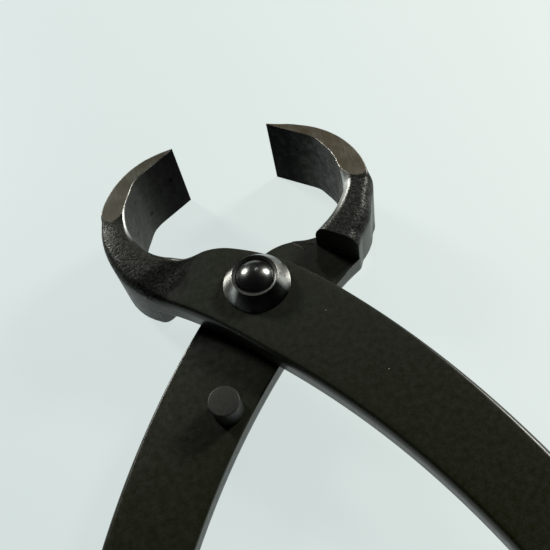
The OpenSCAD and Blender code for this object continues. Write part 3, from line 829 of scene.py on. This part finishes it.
def lever_material(look, name, painted_side_shade, painted_ground_shade):
    """Black scale over the plate, rough forged necks and bare ground sides on the jaws, with painted shade towards
    the handle, on the throat walls near the edge and, by the given shares, on the jaw's outside and ground bevel.
    """
    shader = Shader(name)
    forged = shader.span(shader.mark("forged"), 0.42, 0.98)
    ground, outer, throat, worn, tipward, rim = (
        shader.mark(mark) for mark in ("ground", "outer", "throat", "worn", "tipward", "rim"))
    edge_wall_shade = shader.product(throat, tipward)
    clouds = shader.noise(16 * MM, 4.0, 0.6)
    mottle = shader.noise(1.3 * MM, 4.0, 0.6)
    sand = shader.noise(0.22 * MM, 2.0, 0.7)
    peel = shader.noise(0.45 * MM, 2.0, 0.5)

    # Painted shade: the scale darkens and warms towards the handle, where the lamp light falls off; the clouds are
    # its real uneven tint.
    falloff_shade = shader.span(shader.axes()[1], 5 * MM, -55 * MM)
    tint = shader.highest(shader.span(clouds, 0.35, 0.7, 0.0, 0.5), falloff_shade)
    scale = shader.blend(tint, look.scale_black, look.olive_tint_and_shade)
    cloudy = shader.blend(shader.span(mottle, 0.35, 0.75, 0.0, 0.3), scale, (0.017, 0.018, 0.015))
    sandy = shader.blend(shader.span(sand, 0.45, 0.8, 0.0, 0.45), cloudy, (0.03, 0.03, 0.024))
    pit = shader.pits(2.6 * MM, 0.06, 0.82)
    plate = shader.blend(shader.product(pit, 0.7), sandy, (0.3, 0.29, 0.26))

    streaks = shader.noise(1.2 * MM, 3.0, 0.6, stretch=((1, 1, 0.12), (0, 0, 0)))
    blotch = shader.noise(2.6 * MM, 4.0, 0.65)
    wall = shader.blend(shader.span(streaks, 0.35, 0.7), (0.008, 0.0086, 0.0064), (0.023, 0.0242, 0.0182))
    wall = shader.blend(shader.span(blotch, 0.42, 0.72, 0, 0.7), wall, (0.04, 0.041, 0.031))
    hole = shader.pits(3.4 * MM, 0.19, 0.5)
    wall = shader.blend(hole, wall, (0.0006, 0.0006, 0.0005))
    # Painted shade: the throat walls go near black towards the cutting edge.
    inner = shader.blend(throat, plate, shader.blend(edge_wall_shade, wall, (0.0012, 0.0013, 0.0009)))
    # Painted shade: the outside of the jaw darkened by the lever's share.
    dull, bright = (tuple(c * painted_side_shade for c in tone)
                    for tone in ((0.05, 0.055, 0.045), (0.092, 0.1, 0.085)))
    side = shader.blend(outer, inner, shader.blend(shader.span(mottle, 0.3, 0.7), dull, bright))
    neck = shader.blend(shader.span(peel, 0.35, 0.68), (0.018, 0.018, 0.016), look.forged_grey)
    rough_neck = shader.blend(forged, side, neck)
    rubbed = shader.blend(worn, rough_neck, (0.62, 0.63, 0.62))

    brushed = shader.noise(0.5 * MM, 3.0, 0.6, stretch=((1, 0.12, 1), (0, 0, 0.4)))
    stain = shader.noise(5 * MM, 3.0, 0.6)
    bare = shader.blend(shader.span(brushed, 0.3, 0.7), look.ground_steel, (0.15, 0.137, 0.112))
    stained = shader.blend(shader.span(stain, 0.35, 0.65), bare, (0.085, 0.068, 0.048))
    # Darker towards the tip.
    darker_tipward = shader.blend(shader.product(tipward, 0.85), stained, (0.06, 0.063, 0.045))
    # Painted shade: the ground bevel darkened by the lever's share.
    shaded = shader.blend(1 - painted_ground_shade, darker_tipward, (0.01, 0.02, 0.022))
    jaw = shader.blend(ground, rubbed, shaded)

    soft = shader.add("ShaderNodeBevel", samples=6)
    soft.inputs["Radius"].default_value = 0.25 * MM
    bend = shader.add("ShaderNodeVectorMath", operation="DOT_PRODUCT")
    shader.put(bend.inputs[0], soft.outputs[0])
    shader.put(bend.inputs[1], shader.add("ShaderNodeNewGeometry").outputs["Normal"])
    patches = shader.span(shader.noise(2.4 * MM, 3.0, 0.6), 0.4, 0.62)
    edge = shader.span(bend.outputs["Value"], 0.985, 0.93)
    strength = shader.product(patches, shader.span(ground, 0, 1, look.edge_wear, 0.5))
    burr = shader.span(shader.noise(0.9 * MM, 2.0, 0.6), 0.38, 0.6, 0.35, 1.0)
    line = shader.product(shader.span(bend.outputs["Value"], 0.998, 0.97), shader.product(rim, burr))
    edge_wear = shader.product(edge, strength)
    worn_jaw = shader.blend(edge_wear, jaw, (0.8, 0.78, 0.73))
    colour_all = shader.blend(line, worn_jaw, (0.85, 0.83, 0.78))

    # The painted shade on the throat walls is metallic, so its near black reflects almost nothing.
    painted_shade_wall = shader.product(edge_wall_shade, shader.span(ground, 0, 1, 1, 0))
    metal = shader.highest(shader.product(forged, 0.85), shader.product(outer, 0.7), ground, worn, edge_wear,
                           line, shader.product(painted_shade_wall, shader.span(hole, 0, 1, 0.55, 1.0)))
    rough = shader.span(mottle, 0.3, 0.75, look.scale_roughness - 0.05, look.scale_roughness + 0.07)
    rough = shader.plus_shares(rough, (throat, 0.3), (edge_wall_shade, 0.35), (outer, 0.12), (ground, 0.2),
                               (forged, 0.12), (worn, 0.12),
                               (throat, shader.span(blotch, 0.38, 0.68, -0.1, 0.14)))

    wave = shader.bump(shader.noise(7 * MM, 2.0, 0.5), 0.04 * MM, 0.5, soft.outputs[0])
    grain = shader.bump(sand, 0.012 * MM, 0.6, wave)
    unworn = shader.product(forged, shader.span(worn, 0, 0.6, 0.8, 0.2))
    pebble = shader.bump(peel, 0.12 * MM, unworn, grain)
    return shader.finish(base_color=colour_all, roughness=rough, metallic=metal, normal=pebble,
                         specular_ior_level=look.scale_gloss)


def gloss_material(look, name, turning):
    """Turned and polished black steel, with turning rings that spread its highlights along the slope, painted
    reflection on the washers' flanks and the front of their dish, and painted shade in the dish.
    """
    shader = Shader(name)
    x, y = shader.axes()[:2]
    flat = shader.add("ShaderNodeCombineXYZ")
    shader.put(flat.inputs[0], x)
    shader.put(flat.inputs[1], y)
    reach = shader.reach(flat.outputs[0])
    rings = shader.add("ShaderNodeTexNoise", noise_dimensions="1D")
    shader.put(rings.inputs["W"], reach)
    rings.inputs["Scale"].default_value = 1 / (0.12 * MM)
    rings.inputs["Detail"].default_value = 2.0
    smear = shader.noise(2.2 * MM, 4.0, 0.6)
    speck = shader.noise(0.3 * MM, 2.0, 0.6)
    black = shader.blend(shader.span(smear, 0.35, 0.7), look.gloss_black, (0.042, 0.043, 0.039))
    sideways = shader.math("DIVIDE", shader.math("ABSOLUTE", x), reach)
    frontward = shader.math("DIVIDE", shader.product(y, -1.0), reach)
    # Painted reflection: the washers' left and right flanks take a bright, mirror-like base.
    flank = shader.product(shader.span(sideways, 0.8, 0.97), shader.span(reach, 4.85 * MM, 5.0 * MM))
    dome_foot, dish_rim = 4.06 * MM, 4.98 * MM
    dome = shader.span(reach, dome_foot, 4.02 * MM)
    dish = shader.product(shader.span(reach, dome_foot, 4.1 * MM), shader.span(reach, dish_rim, 4.9 * MM))
    # Painted sheen: the front of the dish is lighter.
    front_dish_sheen = shader.product(dish, shader.span(frontward, 0.1, 0.8, 0.02, 0.11))
    # Painted shade: the dish round the dome is darker.
    dish_shade = shader.blend(dish, black, (0.012, 0.0125, 0.012))
    polished = shader.blend(dome, dish_shade, (0.13, 0.135, 0.13))
    base = shader.blend(shader.highest(flank, front_dish_sheen), polished, look.painted_reflection_gloss)
    rough = shader.plus_shares(shader.span(smear, 0.3, 0.75, 0.17, 0.26), (flank, 0.1), (dish, 0.2), (dome, 0.05))
    ridged = shader.bump(rings.outputs["Fac"], 0.06 * MM, turning)
    pitted = shader.bump(speck, 0.02 * MM, 0.25, ridged)
    return shader.finish(base_color=base, roughness=rough, metallic=1.0, normal=pitted)


def pin_material(look, name):
    """Satin black pin with a slightly rough top."""
    shader = Shader(name)
    mottle = shader.noise(0.9 * MM, 4.0, 0.65)
    grit = shader.noise(0.3 * MM, 2.0, 0.6)
    sawn = shader.noise(0.8 * MM, 3.0, 0.6, stretch=((1, 0.15, 1), (0, 0, 0.9)))
    base = shader.blend(shader.span(mottle, 0.3, 0.75), look.scale_black, (0.014, 0.0148, 0.011))
    rough = shader.span(mottle, 0.3, 0.75, 0.42, 0.58)
    lines = shader.bump(sawn, 0.03 * MM, 0.5)
    pitted = shader.bump(grit, 0.03 * MM, 0.5, lines)
    return shader.finish(base_color=base, roughness=rough, metallic=0.0, normal=pitted, specular_ior_level=0.3)


def forged_marks(shape, i, ring):
    """How rough the forged skin is at each point of a ring: full on the neck, none on plate and ground sides."""
    starts = ease((i - shape.facet_at + 0.6) / 1.2)
    front_end = 1 - ease((i - shape.plate_at + 1.5) / 5)
    rear_end = 1 - ease((i - shape.lap_at) / 1)
    outer, inner = shape.back_side(i), shape.throat_side(i)
    across = np.linalg.norm(ring[:, :2] - outer, axis=1) / np.linalg.norm(inner - outer)
    top = np.where(ring[:, 2] > 0, front_end, rear_end)
    crown = np.where(ring[:, 2] > 0, ring[:, 2] / max(shape.crown_front(i), NOT_ZERO),
                     ring[:, 2] / min(shape.crown_rear(i), -NOT_ZERO))
    height = np.clip((crown - 0.25) / 0.5, 0, 1)
    inside = np.clip(1.5 - across, 0.35, 1)
    return starts * top * mix(0.12, 1.0, height * inside)


def lever_mesh(shape, name, material, seed, shank_r):
    """One lever in its closed place, cut as the real forging is ground, lapped and drilled."""
    sizes = shape.s
    places = shape.ring_places()
    rings, outer, throat, worn, tipward, rim = zip(*(shape.section(i) for i in places))
    marks = {"forged": [forged_marks(shape, i, ring) for i, ring in zip(places, rings)],
             "outer": outer, "throat": throat, "worn": worn, "tipward": tipward, "rim": rim}
    piece = new_object(name, skin(name, rings, marks))
    tree = forge_skin_tree(material)
    apply_tree(piece, tree, {"Depth": sizes.forge_depth, "Grain": sizes.forge_grain, "Seed": seed})
    bpy.data.node_groups.remove(tree)
    reach, lap_z = 60 * MM, shape.lap_z
    cutters = [
        block((-2 * reach, -reach / 3, lap_z), (2 * reach, reach, lap_z + 10 * MM)),
        block((-2 * reach, -reach / 3, -lap_z - 10 * MM), (2 * reach, reach, -lap_z)),
        block((-40 * MM, -reach, -lap_z - 20 * MM), (reach, 0, sizes.lap_gap / 2), sizes.shoulder_wall_tilt,
              (0, sizes.shoulder_wall_y, 0)),
        round_bar(shank_r, -lap_z, 2 * lap_z),
    ]
    cut_away(piece, cutters)
    if max(piece.dimensions) > LONGEST_LEVER or not solid(piece.data):
        raise RuntimeError(f"{name} did not come out of its cuts as one closed piece")
    return piece


def solid(mesh):
    """True for a closed mesh with its faces outwards."""
    bm = bmesh.new()
    bm.from_mesh(mesh)
    closed = all(edge.is_manifold for edge in bm.edges) and bm.calc_volume(signed=True) > 0
    bm.free()
    return closed


def mark_ground(piece, shape):
    """Marks the faces that the grinder left bare and flat, and the rim of their throat side."""
    mesh, near = piece.data, shape.s.throat_crown_r + 1.6 * MM
    bare = [float(abs(face.normal.z) > 0.999 and abs(abs(face.center.z) - shape.lap_z) < ON_PLANE)
            for face in mesh.polygons]
    mesh.attributes.new("ground", "FLOAT", "FACE").data.foreach_set("value", bare)
    rim = [0.0] * len(mesh.vertices)
    mesh.attributes["rim"].data.foreach_get("value", rim)
    for face, value in zip(mesh.polygons, bare):
        for v in face.vertices if value else ():
            arm = np.array(mesh.vertices[v].co[:2]) - shape.throat_c
            turn = math.degrees(full_angle(arm))
            on_rim = np.linalg.norm(arm) < near and turn < RIM_END
            rim[v] = ease((turn - RIM_START) / RIM_RISE) if on_rim else 0.0
    mesh.attributes["rim"].data.foreach_set("value", rim)


def flatten_ground(mesh):
    """Shades the bare faces flat, once all other edges have been smoothed."""
    bare = [0.0] * len(mesh.polygons)
    mesh.attributes["ground"].data.foreach_get("value", bare)
    mesh.polygons.foreach_set("use_smooth", [value < 0.5 for value in bare])
    mesh.update()


class ROOTCUTTER_OT_levers(Operator):
    """Builds the front and rear levers"""

    bl_idname = "root_cutter.levers"
    bl_label = "Levers"

    def execute(self, context):
        scene = context.scene
        sizes, pivot, pin, look = (scene.root_cutter_lever, scene.root_cutter_pivot, scene.root_cutter_pin,
                                   scene.root_cutter_finish)
        shank_r = pivot.rivet_shank_d / 2 + pivot.rivet_clearance
        for name, seed, turn in (("front_lever", 3.0, HALF_OPEN), ("rear_lever", 11.0, -HALF_OPEN)):
            hand = getattr(scene, f"root_cutter_{name}")
            material = lever_material(look, f"{name}_steel", hand.painted_side_shade, hand.painted_ground_shade)
            shape = LeverShape(sizes, hand)
            piece = lever_mesh(shape, f"{name}_forging", material, seed, shank_r)
            mark_ground(piece, shape)
            if name == "rear_lever":
                piece.data.transform(Matrix.Rotation(math.pi, 4, "Y"))
                x = pin_place(shape, pin)
                hole_r = pin.stop_tenon_d / 2 + pin.stop_tenon_clearance
                cut_away(piece, [round_bar(hole_r, -shape.front_z - 5 * MM, 5 * MM, x, -pin.stop_pin_y, 64)])
            piece.data.transform(Matrix.Translation((0, 0, shape.lap_z)) @ Matrix.Rotation(turn, 4, "Z"))
            smooth_by_angle(piece.data, 32)
            flatten_ground(piece.data)
            piece.data.materials.clear()
            piece.data.materials.append(material)
            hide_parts(name)
            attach(piece, "front_half" if name == "front_lever" else "rear_half")
        return {"FINISHED"}


def pin_place(shape, pin):
    """How far beside the centre line the pin stands on the closed rear lever."""
    s = shape.s
    turn = math.asin((s.bow_y - pin.stop_pin_y) / s.bow_r)
    line = (s.bow_r - shape.handle_width(s.bow_r * (shape.shoulder_turn - turn))
            - pin.stop_pin_gap - pin.stop_pin_d / 2)
    return shape.bow_c[0] + math.sqrt(line ** 2 - (s.bow_y - pin.stop_pin_y) ** 2)


class ROOTCUTTER_OT_pivot(Operator):
    """Builds the pivot rivet and its two washers"""

    bl_idname = "root_cutter.pivot"
    bl_label = "Rivet and washers"

    def execute(self, context):
        scene = context.scene
        sizes, lever, look = scene.root_cutter_pivot, scene.root_cutter_lever, scene.root_cutter_finish
        lap_z = lever.edge_length / 2
        front_z = lever.lap_gap / 2 + lever.lap_thickness
        rim = lap_z + front_z + sizes.washer_height
        rear_rim = lap_z - front_z - lever.lap_gap / 2 - sizes.washer_height
        shank, head = sizes.rivet_shank_d / 2, sizes.rivet_head_d / 2
        foot, apex = rim - sizes.rivet_dome_drop, rim + sizes.rivet_dome_height
        dome_r = (head ** 2 + (apex - foot) ** 2) / (2 * (apex - foot))
        recess = sizes.head_recess_depth
        stem = rounded([(0, 0), (head, 0), (head, rear_rim + recess), (shank, rear_rim + recess),
                        (shank, rim - recess), (head, rim - recess), (head, foot)], sizes.turned_edge)
        start = math.asin(head / dome_r)
        turns = [start * (1 - k / 28) for k in range(1, 29)]
        dome = [(dome_r * math.sin(a), apex - dome_r + dome_r * math.cos(a)) for a in turns]
        rivet = new_object("domed_rivet", turned("domed_rivet", [tuple(p) for p in stem] + dome))
        base, top = sizes.washer_base_d / 2, sizes.washer_rim_d / 2
        bore, wall = shank + sizes.rivet_clearance, head + 0.06 * MM
        high = sizes.washer_height
        loop = [(bore, 0), (base, 0), (top, high), (top - sizes.washer_rim_land, high),
                (wall, high - sizes.washer_dish), (wall, high - recess), (bore, high - recess)]
        profile = rounded(loop + loop[:2], sizes.turned_edge)[1:-1]
        made = [(rivet, "pivot_rivet", None)]
        for name, z, flip in (("front_washer", lap_z + front_z, 0), ("rear_washer", rear_rim + high, math.pi)):
            ring = new_object(f"{name}_turned", turned(name, profile, closed=True))
            made.append((ring, name, Matrix.Translation((0, 0, z)) @ Matrix.Rotation(flip, 4, "X")))
        for piece, name, place in made:
            if place is not None:
                piece.data.transform(place)
            smooth_by_angle(piece.data, 40)
            turning = sizes.rivet_turning if name == "pivot_rivet" else sizes.washer_turning
            piece.data.materials.append(gloss_material(look, f"{name}_gloss", turning))
            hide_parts(name)
            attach(piece, "front_half")
        return {"FINISHED"}


class ROOTCUTTER_OT_stop_pin(Operator):
    """Builds the stop pin"""

    bl_idname = "root_cutter.stop_pin"
    bl_label = "Stop pin"

    def execute(self, context):
        scene = context.scene
        pin, lever, look = scene.root_cutter_pin, scene.root_cutter_lever, scene.root_cutter_finish
        shape = LeverShape(lever, scene.root_cutter_rear_lever)
        foot = -lever.lap_gap / 2
        profile = rounded([(0, foot - lever.lap_thickness), (pin.stop_tenon_d / 2, foot - lever.lap_thickness),
                           (pin.stop_tenon_d / 2, foot), (pin.stop_pin_d / 2, foot),
                           (pin.stop_pin_d / 2, foot + pin.stop_pin_height), (0, foot + pin.stop_pin_height)],
                          pin.pin_edge)
        piece = new_object("stop_pin_turned", turned("stop_pin", [tuple(p) for p in profile], 96))
        place = Matrix.Translation((pin_place(shape, pin), -pin.stop_pin_y, 0))
        opened = Matrix.Translation((0, 0, shape.lap_z)) @ Matrix.Rotation(-HALF_OPEN, 4, "Z")
        piece.data.transform(opened @ place)
        smooth_by_angle(piece.data, 40)
        piece.data.materials.append(pin_material(look, "stop_pin_steel"))
        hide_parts("stop_pin")
        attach(piece, "rear_half")
        return {"FINISHED"}


# Each lamp's name, azimuth and elevation in degrees, and share of the power
LAMPS = (("lamp_left", 126, 28, 0.85), ("lamp_right", 26, 31, 1.0), ("lamp_far", 73, 48, 0.03))


class ROOTCUTTER_OT_stage(Operator):
    """Sets up the floor, the soft lamps and the camera"""

    bl_idname = "root_cutter.stage"
    bl_label = "Stage"

    def execute(self, context):
        scene = context.scene
        stage = scene.root_cutter_stage
        bm = bmesh.new()
        bmesh.ops.create_grid(bm, x_segments=1, y_segments=1, size=4.0)
        floor = new_object("floor", mesh_of(bm, "floor"))
        floor.location.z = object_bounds()[0][2] - 0.02 * MM
        floor.data.materials.append(floor_material(stage))
        floor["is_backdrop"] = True
        for name, azimuth, elevation, share in LAMPS:
            light = bpy.data.lights.new(name, "AREA")
            light.shape = "DISK"
            light.size = stage.lamp_size * share ** 0.5
            light.energy = stage.lamp_power * share
            light.color = (1.0, 1.0, 0.93)
            lamp = bpy.data.objects.new(name, light)
            a, e = math.radians(azimuth), math.radians(elevation)
            towards = Vector((math.cos(a) * math.cos(e), math.sin(a) * math.cos(e), math.sin(e)))
            lamp.matrix_world = (Matrix.Translation(towards * stage.lamp_distance)
                                 @ towards.to_track_quat("Z", "Y").to_matrix().to_4x4())
            scene.collection.objects.link(lamp)
        world = bpy.data.worlds.new("dim room")
        world.use_nodes = True
        room = world.node_tree.nodes["Background"]
        room.inputs["Color"].default_value = (0.9, 0.97, 1.0, 1)
        room.inputs["Strength"].default_value = stage.room
        scene.world = world
        scene.view_settings.view_transform = "Standard"
        scene.camera = self.camera(scene)
        return {"FINISHED"}

    def camera(self, scene):
        """The camera at the photograph's viewing angle."""
        data = bpy.data.cameras.new("camera")
        data.sensor_width = 36
        data.lens = 52.87
        data.clip_start = 0.01
        camera = bpy.data.objects.new("camera", data)
        right = Vector((0.96582, -0.22387, -0.13062))
        up = Vector((0.25915, 0.82573, 0.50100))
        forward = Vector((0.00429, 0.51773, -0.85553))
        turn = Matrix((right, up, -forward)).transposed().to_4x4()
        camera.matrix_world = Matrix.Translation((3.41 * MM, -87.89 * MM, 161.96 * MM)) @ turn
        scene.collection.objects.link(camera)
        return camera


def floor_material(stage):
    """A pale sheet, softly lit from below, a little brighter at the right."""
    shader = Shader("pale_floor")
    glow = shader.blend(shader.span(shader.axes()[0], -0.09, 0.09), stage.floor_left, stage.floor_right)
    faint = shader.blend(shader.span(shader.noise(0.09, 2.0, 0.5), 0.3, 0.7, 0.0, 0.06), glow, stage.floor_left)
    fading = shader.span(shader.reach(shader.place), 0.22, 0.9, 1.0, 0.3)
    return shader.finish(base_color=(*stage.floor_tint, 1.0), roughness=0.5, specular_ior_level=0.1,
                         emission_color=faint, emission_strength=fading)


class ROOTCUTTER_PT_panel(Panel):
    """Lists the pieces of the root cutter"""

    bl_idname = "ROOTCUTTER_PT_panel"
    bl_label = "Root Cutter"
    bl_space_type = "VIEW_3D"
    bl_region_type = "UI"
    bl_category = "Root Cutter"

    def draw(self, context):
        for operator in OPERATORS:
            self.layout.operator(operator.bl_idname)
        for name in GROUPS:
            group = getattr(context.scene, name)
            box = self.layout.box()
            for prop in group.bl_rna.properties.keys():
                if prop not in ("rna_type", "name"):
                    box.prop(group, prop)


GROUPS = {
    "root_cutter_lever": LeverSizes,
    "root_cutter_front_lever": HandWork,
    "root_cutter_rear_lever": HandWork,
    "root_cutter_pivot": PivotSizes,
    "root_cutter_pin": PinSizes,
    "root_cutter_finish": Finish,
    "root_cutter_stage": Stage,
}
OPERATORS = (ROOTCUTTER_OT_stage, ROOTCUTTER_OT_levers, ROOTCUTTER_OT_pivot, ROOTCUTTER_OT_stop_pin)
CLASSES = (*dict.fromkeys(GROUPS.values()), *OPERATORS, ROOTCUTTER_PT_panel)


def register():
    for cls in CLASSES:
        bpy.utils.register_class(cls)
    for name, group in GROUPS.items():
        setattr(bpy.types.Scene, name, PointerProperty(type=group))


def unregister():
    for name in GROUPS:
        delattr(bpy.types.Scene, name)
    for cls in reversed(CLASSES):
        bpy.utils.unregister_class(cls)


# The levers as they were forged, with the painted shade on the jaws' outsides and the front jaw's ground bevel:
# lengths in millimetres, then the other values
HAND_WORK = {
    "root_cutter_front_lever": (
        {"tip_out": 0.6, "crown_out": 0.75, "step_out": 0.3, "flank_out": 0.1, "heel_out": 0.2,
         "lap_out": 0.05, "crown_in": -0.65, "turn_in": -0.05},
        {"plate_run": 15, "shoulder": 1, "plate_round": 0.6, "inner_run": 26, "worn_run": 6, "step_turn": -2,
         "painted_side_shade": 0.15, "painted_ground_shade": 0.55}),
    "root_cutter_rear_lever": (
        {"tip_out": -0.35, "crown_out": -0.65, "step_out": -0.05, "flank_out": -0.78, "heel_out": -0.32,
         "lap_out": 0.65, "crown_in": 0.4, "turn_in": 0.85},
        {"heel_run": 11, "facet_turn": math.radians(168), "step_turn": 2, "inner_run": 6, "worn_run": 11,
         "round_growth": 1.05}),
}


def set_hand_work(scene):
    """Gives each lever its own hand work: the front jaw is a little stouter, the rear one ground further, and the
    jaws' outsides and the front jaw's ground bevel get painted shade.
    """
    for name, (lengths, values) in HAND_WORK.items():
        for prop, value in lengths.items():
            setattr(getattr(scene, name), prop, value * MM)
        for prop, value in values.items():
            setattr(getattr(scene, name), prop, value)


def main():
    register()
    set_hand_work(bpy.context.scene)
    bpy.ops.root_cutter.stage()
    bpy.ops.root_cutter.levers()
    bpy.ops.root_cutter.pivot()
    bpy.ops.root_cutter.stop_pin()


if __name__ == "__main__":
    main()
